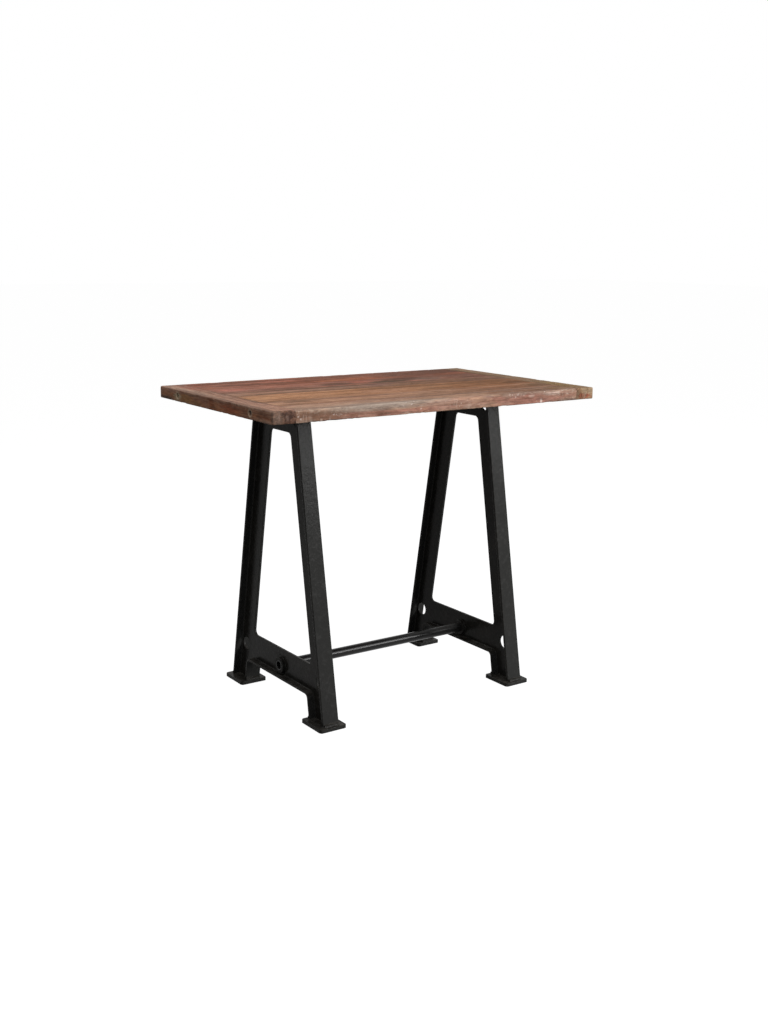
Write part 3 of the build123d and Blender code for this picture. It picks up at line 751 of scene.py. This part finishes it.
# corner order: front top, back top, back under, front under (for an end board: low x first)
# stains: middle, half size, colour and strength
planks = {
    "top_plank_1": {
        "shape": dict(woodShape, seed=11, corners=(joint, soft, under, joint), wave=0.35 * mm, chip=1.1 * mm),
        "look": dict(
            woodLook, early=(156, 106, 86), late=(104, 64, 49), dark=(78, 50, 40), patch=(162, 102, 76),
            cloud=(112, 76, 60), streakShow=0.7, ringGap=7.5 * mm, ringShow=0.75, heart=(0, -0.03, -0.075),
            sway=0.03, shift=(0.31, -0.291, -1.03),
            stainsAndPaintedLight=onTop(
                (-0.215, 0.32, 0.1, 0.05, (178, 112, 92), 0.8),
                (-0.54, 0.32, 0.07, 0.05, (146, 86, 66), 0.7),
                (0.04, 0.232, 0.2, 0.038, (184, 116, 86), 0.9),
                (-0.39, 0.262, 0.13, 0.026, (96, 60, 46), 0.85),
                (-0.12, 0.262, 0.07, 0.02, (112, 68, 54), 0.5),
                (0.06, 0.352, 0.13, 0.026, (140, 104, 88), 0.65),
                (0.33, 0.29, 0.17, 0.075, (104, 72, 58), 0.8),
                (0.5, 0.32, 0.12, 0.06, (86, 62, 50), 0.85),
            )),
    },
    "top_plank_2": {
        "shape": dict(woodShape, seed=22),
        "look": dict(
            woodLook, early=(160, 114, 96), late=(112, 76, 62), dark=(82, 58, 48), patch=(164, 110, 92),
            cloud=(120, 88, 74), streakShow=0.7, ringGap=6.0 * mm, heart=(0, 0.05, -0.055), sway=0.024,
            shift=(-0.42, -0.14, -1.03),
            stainsAndPaintedLight=onTop(
                (-0.49, 0.152, 0.06, 0.038, (192, 120, 104), 0.7),
                (-0.25, 0.165, 0.23, 0.03, (172, 114, 94), 0.65),
                (-0.33, 0.104, 0.17, 0.022, (110, 80, 68), 0.7),
                (-0.075, 0.132, 0.095, 0.031, (80, 58, 48), 0.9),
                (0.03, 0.142, 0.058, 0.04, (182, 112, 94), 0.7),
                (0.115, 0.114, 0.115, 0.032, (70, 66, 52), 0.9),
                (0.22, 0.15, 0.09, 0.034, (80, 59, 49), 0.9),
                (0.305, 0.12, 0.07, 0.044, (104, 90, 80), 0.75),
                (0.45, 0.14, 0.13, 0.055, (108, 78, 63), 0.75),
            )),
    },
    "top_plank_3": {
        "shape": dict(woodShape, seed=33),
        "look": dict(
            woodLook, early=(150, 116, 97), late=(108, 80, 64), dark=(80, 62, 50), patch=(142, 106, 88),
            cloud=(128, 102, 84), ringGap=5.0 * mm, ringShow=0.55, heart=(0, -0.09, -0.02), sway=0.018,
            shift=(0.17, -0.032, -1.03),
            stainsAndPaintedLight=onTop(
                (-0.43, 0.034, 0.19, 0.04, (172, 132, 110), 0.6),
                (-0.23, 0.066, 0.21, 0.016, (100, 78, 65), 0.75),
                (0.02, 0.052, 0.07, 0.028, (142, 108, 102), 0.65),
                (-0.32, 0.004, 0.19, 0.014, (106, 84, 64), 0.7),
                (0.15, 0.02, 0.12, 0.026, (134, 102, 78), 0.6),
                (0.37, 0.03, 0.21, 0.055, (118, 84, 62), 0.7),
            )),
    },
    "top_plank_4": {
        "shape": dict(woodShape, seed=44),
        "look": dict(
            woodLook, early=(172, 130, 100), late=(126, 88, 62), dark=(92, 64, 45), patch=(158, 116, 88),
            cloud=(142, 104, 80), pale=(214, 180, 148), ringGap=8.0 * mm, ringShow=0.7,
            heart=(0, 0.02, -0.085), sway=0.034, shift=(-0.08, 0.092, -1.03),
            stainsAndPaintedLight=onTop(
                (-0.48, -0.07, 0.11, 0.05, (188, 142, 106), 0.65),
                (-0.28, -0.06, 0.23, 0.06, (196, 146, 110), 0.6),
                (-0.06, -0.11, 0.12, 0.045, (162, 122, 100), 0.6),
                (0.2, -0.06, 0.13, 0.055, (150, 110, 80), 0.6),
                (0.43, -0.07, 0.17, 0.08, (122, 86, 60), 0.8),
                (0.36, -0.145, 0.17, 0.028, (146, 100, 68), 0.6),
                (0.5, -0.115, 0.07, 0.03, (88, 62, 42), 0.85),
            )),
    },
    "top_plank_5": {
        "shape": dict(woodShape, seed=55),
        "look": dict(
            woodLook, early=(174, 136, 112), late=(130, 98, 76), dark=(96, 72, 56), patch=(162, 124, 100),
            cloud=(146, 114, 92), ringGap=6.5 * mm, heart=(0, 0.06, -0.06), sway=0.022,
            shift=(0.55, 0.225, -1.03),
            stainsAndPaintedLight=onTop(
                (-0.36, -0.226, 0.25, 0.06, (190, 148, 122), 0.55),
                (-0.44, -0.214, 0.072, 0.024, (108, 80, 60), 0.8),
                (-0.2, -0.198, 0.15, 0.02, (140, 104, 86), 0.6),
                (-0.06, -0.252, 0.21, 0.024, (172, 136, 112), 0.6),
                (0.24, -0.186, 0.09, 0.016, (104, 76, 56), 0.7),
                (0.35, -0.226, 0.19, 0.05, (148, 103, 74), 0.7),
                (0.53, -0.215, 0.07, 0.05, (104, 80, 54), 0.75),
            )),
    },
    "top_plank_6": {
        "shape": dict(woodShape, seed=66, corners=((4.4 * mm, 9.5 * mm), joint, joint, under), wave=0.5 * mm,
                      dent=0.9 * mm, chip=1.6 * mm),
        "look": dict(
            woodLook, early=(170, 138, 117), late=(124, 94, 77), dark=(94, 70, 60), patch=(160, 120, 100),
            cloud=(140, 112, 94), pale=(212, 194, 178), ringGap=7.0 * mm, ringShow=0.6,
            heart=(0, -0.01, -0.07), sway=0.028, shift=(-0.23, 0.33, -1.03), dashShow=0.4, scuffShow=0.45,
            sawShow=0.27, speckShow=0.7, wearShow=0.2,
            stainsAndPaintedLight=[
                ((-0.43, -0.315, 1.056), (0.13, 0.034, 0.016), (188, 152, 130), 0.6),
                ((-0.52, -0.365, 1.056), (0.07, 0.028, 0.016), (136, 110, 94), 0.7),
                ((0.06, -0.33, 1.056), (0.16, 0.034, 0.016), (166, 130, 106), 0.6),
                ((0.31, -0.33, 1.056), (0.16, 0.05, 0.016), (122, 86, 64), 0.75),
                ((0.45, -0.345, 1.056), (0.08, 0.034, 0.016), (108, 78, 60), 0.8),
                ((0.53, -0.32, 1.056), (0.06, 0.05, 0.016), (126, 100, 68), 0.7),
                ((-0.25, -0.374, 1.044), (0.27, 0.03, 0.02), (150, 139, 130), 0.8),
                ((-0.25, -0.38, 1.021), (0.33, 0.02, 0.01), (156, 104, 92), 0.75),
                ((-0.5, -0.38, 1.027), (0.1, 0.02, 0.022), (114, 84, 68), 0.85),
                ((-0.45, -0.38, 1.011), (0.13, 0.02, 0.006), (82, 58, 52), 0.8),
                ((0.04, -0.38, 1.03), (0.15, 0.02, 0.022), (156, 122, 108), 0.7),
                ((0.36, -0.38, 1.028), (0.24, 0.02, 0.024), (140, 98, 88), 0.85),
                ((0.352, -0.381, 1.036), (0.014, 0.01, 0.006), (200, 178, 168), 0.5),
                ((0.395, -0.381, 1.018), (0.005, 0.01, 0.012), (214, 198, 190), 0.6),
                ((0.446, -0.381, 1.041), (0.04, 0.01, 0.007), (206, 186, 176), 0.7),
                ((0.52, -0.38, 1.013), (0.08, 0.02, 0.007), (86, 66, 58), 0.8),
                ((-0.505, -0.381, 1.016), (0.005, 0.01, 0.006), (204, 188, 176), 0.35),
                ((-0.47, -0.381, 1.015), (0.006, 0.01, 0.006), (206, 192, 180), 0.45),
                ((-0.44, -0.381, 1.017), (0.004, 0.01, 0.007), (204, 188, 178), 0.45),
            ]),
    },
}
endBoards = {
    "end_board_left": {
        "shape": dict(woodShape, seed=77, corners=(soft, joint, joint, under), endRound=5.0 * mm, hold=1,
                      wave=0.5 * mm, dent=0.8 * mm, chip=1.3 * mm),
        "look": dict(
            woodLook, early=(166, 130, 112), late=(116, 84, 68), dark=(80, 58, 46), patch=(150, 110, 90),
            cloud=(132, 102, 84), pale=(204, 178, 158), ringGap=6.0 * mm, ringShow=0.6,
            heart=(0, 0.03, -0.05), sway=0.02, shift=(0.21, -0.596, -1.03), scuffShow=0.3, sawShow=0.1,
            speckShow=0.15, wearShow=0.22,
            stainsAndPaintedLight=[
                ((-0.575, 0.28, 1.056), (0.024, 0.11, 0.016), (164, 98, 78), 0.75),
                ((-0.62, 0.15, 1.056), (0.02, 0.26, 0.016), (178, 147, 128), 0.7),
                ((-0.64, 0.0, 1.028), (0.012, 0.52, 0.026), (146, 100, 72), 0.85),
                ((-0.64, 0.005, 1.03), (0.012, 0.024, 0.04), (112, 64, 38), 0.85),
                ((-0.64, -0.12, 1.03), (0.012, 0.09, 0.022), (150, 84, 58), 0.8),
                ((-0.64, 0.18, 1.026), (0.012, 0.05, 0.018), (156, 116, 72), 0.7),
                ((-0.64, 0.1, 1.02), (0.012, 0.04, 0.014), (122, 96, 66), 0.7),
                ((-0.637, 0.334, 1.016), (0.014, 0.044, 0.009), (40, 29, 24), 0.9),
                ((-0.64, -0.33, 1.03), (0.012, 0.04, 0.018), (104, 64, 44), 0.7),
                ((-0.64, 0.245, 1.03), (0.014, 0.026, 0.018), (186, 168, 140), 0.75),
                ((-0.602, -0.383, 1.03), (0.066, 0.016, 0.034), (60, 46, 42), 0.95),
                ((-0.612, -0.384, 1.034), (0.005, 0.012, 0.015), (140, 120, 112), 0.55),
                ((-0.586, -0.384, 1.028), (0.006, 0.012, 0.012), (136, 116, 108), 0.5),
            ]),
    },
    "end_board_right": {
        "shape": dict(woodShape, seed=88, corners=(joint, soft, under, joint), endRound=5.0 * mm, hold=-1,
                      wave=0.5 * mm, dent=0.8 * mm, chip=1.3 * mm),
        "look": dict(
            woodLook, early=(152, 126, 102), late=(110, 86, 66), dark=(78, 62, 46), patch=(138, 108, 84),
            cloud=(124, 102, 80), pale=(204, 184, 160), ringGap=6.5 * mm, ringShow=0.6,
            heart=(0, -0.02, -0.06), sway=0.022, shift=(-0.37, 0.596, -1.03), scuffShow=0.28, sawShow=0.1,
            speckShow=0.12, wearShow=0.4,
            stainsAndPaintedLight=[
                ((0.59, -0.25, 1.056), (0.036, 0.11, 0.016), (140, 116, 74), 0.75),
                ((0.606, -0.384, 1.043), (0.034, 0.016, 0.011), (128, 106, 80), 0.85),
                ((0.592, -0.383, 1.022), (0.032, 0.014, 0.011), (140, 70, 54), 0.9),
                ((0.562, -0.384, 1.03), (0.01, 0.014, 0.022), (96, 74, 60), 0.7),
            ]),
    },
}


def makeBoard(name, settings, along):
    low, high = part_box(name)
    obj = newObject("board_" + name, meshFromRings(name, boardRings(low, high, along, settings["shape"])))
    carve(obj, [rings for rings in allCutters if overlaps(rings, low, high)])
    finishMesh(obj)
    markBoard(obj, low, high)
    obj.data.materials.append(boardMaterial(name + "_wood", settings["look"], along))
    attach(obj, "root")
    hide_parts(name)
    print("board", name, len(obj.data.polygons), "faces")


for name, settings in planks.items():
    makeBoard(name, settings, "x")
for name, settings in endBoards.items():
    makeBoard(name, settings, "y")
for scrap in [o for o in bpy.data.objects if o.name.startswith("cutter")]:
    bpy.data.objects.remove(scrap)


# Stretcher pipe

pipe = {"node": "stretcher_pipe", "wall": 3 * mm, "stations": 81, "sides": 96, "endRound": 0.6 * mm}


def pipeMesh():
    # a ring-shaped profile turned about the pipe's middle line: out along the outside, back along the bore
    low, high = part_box(pipe["node"])
    outer = (high.y - low.y) / 2
    inner, lip = outer - pipe["wall"], pipe["endRound"]
    middle = ((low.y + high.y) / 2, (low.z + high.z) / 2)
    run = np.linspace(low.x + lip, high.x - lip, pipe["stations"])
    stations = np.concatenate([[low.x], run, [high.x, high.x], run[::-1], [low.x]])
    full = np.ones_like(run)
    ends = [outer - lip, inner + lip]
    radii = np.concatenate([ends[:1], outer * full, ends, inner * full, ends[1:]])
    rings = roundRings(0, middle, stations, radii, pipe["sides"])
    count, around = rings.shape[:2]
    index = np.arange(count * around).reshape(count, around)
    down, ahead = np.roll(index, -1, axis=0), np.roll(index, -1, axis=1)
    quads = np.stack([index, ahead, np.roll(ahead, -1, axis=0), down], -1).reshape(-1, 4)
    mesh = bpy.data.meshes.new("stretcher_pipe_tube")
    mesh.from_pydata(rings.reshape(-1, 3), [], quads.tolist())
    faceOutward(mesh)
    return mesh


# Iron, pipe and fixings

ironFinish = {                 # what is the same on every iron piece
    # faceShow: strength of the painted sheen on front and back faces
    "film": (0.36, 0.66), "faceShow": 0.9, "worn": (0.48, 0.70), "dull": 0.4,
    "sandHigh": 0.4, "lumpHigh": 2.4, "bumpDepth": 0.35 * mm,
}


def ironMaterial(name, look):
    material, tree, shader = newMaterial(name)
    fit, place = ironFinish, objectPlace(tree)
    skin = useGroup(tree, castSkin, place=place)
    rub = useGroup(tree, edgeRub, place=place)
    film = stepBetween(tree, skin["blotch"], *fit["film"])
    colour = blend(tree, film, paint(*look["paint"]), paint(*look["film"]))
    # front and back faces painted lighter, a painted sheen
    if "face" in look:
        colour = coat(tree, colour, rub["face"], fit["faceShow"], look["face"])
    dull = [(rub["dust"], fit["dull"] * look["dustShow"])]
    # on iron each spot is painted shade (a darker tint) or painted light (a paler tint) in the colour, and
    # also roughens the surface
    for centreAt, size, tint, amount in look["stainsAndPaintedLight"]:
        spot = useGroup(tree, stainAndPaintedLightSpot, place=place, grain=place, centre=centreAt, size=size)["mask"]
        colour = coat(tree, colour, spot, amount, tint)
        dull.append((spot, fit["dull"] * amount))
    worn = maths(tree, "MULTIPLY", stepBetween(tree, skin["lump"], *fit["worn"]), skin["blotch"])
    # worn patches; dust, which also paints a highlight on upward faces; rubbed edges
    for label, mask in (("worn", worn), ("dust", rub["dust"]), ("edge", rub["edge"])):
        colour = coat(tree, colour, mask, look[label + "Show"], look[label])
    tree.links.new(colour, shader.inputs["Base Color"])
    uneven = [(skin[label], 0.5 * look["roughVary"]) for label in ("blotch", "lump")]
    gloss = addUp(tree, look["rough"], uneven + dull)
    tree.links.new(maths(tree, "MINIMUM", gloss, 1.0), shader.inputs["Roughness"])
    shader.inputs["Specular IOR Level"].default_value = look["shine"]
    shader.inputs["Metallic"].default_value = look["metal"]
    grain = maths(tree, "SUBTRACT", skin["sand"], skin["pit"])
    relief = [(grain, fit["sandHigh"]), (skin["lump"], fit["lumpHigh"])]
    bump(tree, shader, addUp(tree, 0.0, relief), look["grit"], fit["bumpDepth"])
    return material


ironLook = {"wornShow": 0.3, "dustShow": 0.2, "edgeShow": 0.5, "roughVary": 0.2, "metal": 0.0, "stainsAndPaintedLight": []}
castIron = dict(
    # face: the lighter colour of the painted sheen on front and back faces
    ironLook, paint=(34, 33, 31), film=(41, 39, 36), face=(49, 49, 48), worn=(84, 83, 82), dust=(84, 81, 77),
    # dust: also a painted highlight on upward faces such as the bars' tops
    dustShow=0.42, edge=(118, 116, 113), edgeShow=0.6, rough=0.06, roughVary=0.3, shine=0.027, grit=0.8,
    # the stain: painted shade over the boss and pipe end on the left casting
    stainsAndPaintedLight=[((-0.42, 0.0, 0.135), (0.05, 0.045, 0.045), (20, 19, 18), 0.9)])
pipeIron = dict(
    ironLook, paint=(22, 22, 22), film=(28, 27, 27), worn=(52, 51, 50), wornShow=0.15, dust=(110, 105, 98),
    # dust: a faint painted top highlight as well
    dustShow=0.06, edge=(104, 102, 98), edgeShow=0.4, rough=0.18, roughVary=0.05, shine=0.155, grit=0.06,
    # the stain: painted shadow along the pipe's right end, where the right casting shades it, also made
    # rougher to dull the highlight
    stainsAndPaintedLight=[((0.36, 0.0, 0.128), (0.16, 0.06, 0.06), (16, 16, 15), 0.9)])
darkSteel = dict(
    ironLook, paint=(58, 57, 57), film=(74, 70, 66), worn=(104, 101, 97), dust=(96, 90, 84),
    edge=(134, 131, 128), rough=0.32, shine=0.5, metal=1.0, grit=0.15)
wornSteel = dict(
    ironLook, paint=(128, 125, 114), film=(158, 152, 134), worn=(176, 170, 156), dust=(150, 142, 126),
    edge=(176, 172, 162), rough=0.48, shine=0.4, metal=0.35, grit=0.2,
    # on the bolt heads: the front head darkened as painted shade in its sunk well, the back head lightened as
    # painted light
    stainsAndPaintedLight=[((-0.632, -0.245, 1.03), (0.03, 0.01, 0.01), (48, 37, 29), 0.9),
            ((-0.632, 0.245, 1.03), (0.03, 0.02, 0.02), (178, 166, 138), 0.9)])
tongueWood = dict(
    planks["top_plank_4"]["look"], stainsAndPaintedLight=[], shift=(0.0, 0.0, -1.03), speckShow=0.0, scuffShow=0.05)

tube = newObject("pipe_stretcher", pipeMesh())
finishMesh(tube)
tube.data.materials.append(ironMaterial("black_pipe_iron", pipeIron))
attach(tube, "root")
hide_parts(pipe["node"])

# a node takes the finish whose key is the longest start of its name
finishes = {
    "frame_": ironMaterial("black_cast_iron", castIron),
    "end_bolt": ironMaterial("worn_bolt_steel", wornSteel),
    "frame_screws": ironMaterial("dark_screw_steel", darkSteel),
    "plank_tongue": boardMaterial("tongue_wood_x", tongueWood, "x"),
    "end_tongue": boardMaterial("tongue_wood_y", tongueWood, "y"),
}
finishes["set_screws"] = finishes["frame_washers"] = finishes["frame_screws"]
for name, node in nodes.items():
    fitting = [key for key in finishes if name.startswith(key)]
    if fitting and not node.hide_render:
        for slotIndex in range(len(node.data.materials)):
            node.data.materials[slotIndex] = finishes[max(fitting, key=len)]
print("pipe and fixings done")


# Floor, light and camera

stage = {"half": 40.0, "lines": 9, "drop": 0.2 * mm, "floor": 0.20, "glow": 0.95, "around": 0.21, "seen": 1.0}


def seenMask(tree):
    # 1 for what the camera meets straight, in a reflection or through something clear, else 0
    paths = addNode(tree, "ShaderNodeLightPath").outputs
    seen = maths(tree, "MAXIMUM", paths["Is Camera Ray"], paths["Is Glossy Ray"])
    return maths(tree, "MAXIMUM", seen, paths["Is Transmission Ray"])


def floorMaterial():
    # a pale matt floor that takes the shadow; its glow is seen but lights nothing
    material, tree, shader = newMaterial("pale_floor")
    shader.inputs["Base Color"].default_value = (stage["floor"],) * 3 + (1.0,)
    shader.inputs["Roughness"].default_value = 1.0
    shader.inputs["Specular IOR Level"].default_value = 0.0
    pick = addNode(tree, "ShaderNodeMixShader")
    tree.links.new(seenMask(tree), pick.inputs[0])
    for socket, strength in ((1, 0.0), (2, stage["glow"])):
        glow = addNode(tree, "ShaderNodeEmission")
        glow.inputs["Strength"].default_value = strength
        tree.links.new(glow.outputs[0], pick.inputs[socket])
    both = addNode(tree, "ShaderNodeAddShader")
    tree.links.new(shader.outputs[0], both.inputs[0])
    tree.links.new(pick.outputs[0], both.inputs[1])
    tree.links.new(both.outputs[0], tree.nodes["Material Output"].inputs["Surface"])
    return material


def floorMesh():
    # a flat square grid: x and y each run evenly from one side to the other, z lies just under the feet
    count = stage["lines"]
    line = np.linspace(-stage["half"], stage["half"], count)
    x, y = np.meshgrid(line, line)
    index = np.arange(count * count).reshape(count, count)
    quads = np.stack([index[:-1, :-1], index[:-1, 1:], index[1:, 1:], index[1:, :-1]], -1).reshape(-1, 4)
    mesh = bpy.data.meshes.new("floor")
    mesh.from_pydata(np.stack([x, y, 0 * x - stage["drop"]], -1).reshape(-1, 3), [], quads.tolist())
    return mesh


floor = newObject("floor", floorMesh())
floor.data.materials.append(floorMaterial())

world = bpy.data.worlds.new("studio")
bpy.context.scene.world = world
world.use_nodes = True
sky = world.node_tree
level = addUp(sky, stage["around"], [(seenMask(sky), stage["seen"] - stage["around"])])
sky.links.new(level, sky.nodes["Background"].inputs["Strength"])
sky.nodes["Background"].inputs["Color"].default_value = (1.0, 1.0, 1.0, 1.0)

lamps = {
    "key": {"at": (2.3, -3.4, 2.2), "to": (0.0, -0.2, 0.85), "size": (2.0, 2.0), "power": 104},
    "low": {"at": (2.2, -3.6, 1.45), "to": (0.0, -0.2, 0.8), "size": (2.0, 0.7), "power": 62},
    "above": {"at": (-1.1, -1.0, 3.1), "to": (-0.3, 0.0, 1.0), "size": (1.6, 1.6), "power": 31},
    "behind": {"at": (-0.2, 3.8, 2.8), "to": (0.0, 0.1, 0.7), "size": (1.6, 1.6), "power": 48},
}
for name, lamp in lamps.items():
    light = bpy.data.lights.new(name, "AREA")
    light.shape, light.energy = "RECTANGLE", lamp["power"]
    light.size, light.size_y = lamp["size"]
    holder = newObject(name, light)
    holder.location = lamp["at"]
    holder.rotation_euler = (Vector(lamp["to"]) - Vector(lamp["at"])).to_track_quat("-Z", "Y").to_euler()

viewpoint = {"eye": (-2.35972, -3.40752, 1.52281), "yaw": 34.984, "pitch": -12.159, "roll": 0.671,
             "lens": 43.270, "sensor": 36.0}


def cameraMatrix():
    # looks along yaw from +Y towards +X, then pitch, then turns about the line of sight by roll
    yaw, pitch, roll = (math.radians(viewpoint[key]) for key in ("yaw", "pitch", "roll"))
    ahead = Vector((math.sin(yaw) * math.cos(pitch), math.cos(yaw) * math.cos(pitch), math.sin(pitch)))
    right = Vector((math.cos(yaw), -math.sin(yaw), 0.0))
    up = right.cross(ahead)
    across = right * math.cos(roll) + up * math.sin(roll)
    upward = -right * math.sin(roll) + up * math.cos(roll)
    turn = Matrix((across, upward, -ahead)).transposed().to_4x4()
    return Matrix.Translation(viewpoint["eye"]) @ turn


cameraData = bpy.data.cameras.new("camera")
cameraData.sensor_width, cameraData.lens = viewpoint["sensor"], viewpoint["lens"]
camera = newObject("camera", cameraData)
camera.matrix_world = cameraMatrix()
bpy.context.scene.camera = camera
bpy.context.scene.view_settings.view_transform = "Standard"
print("stage, lamps and camera set")
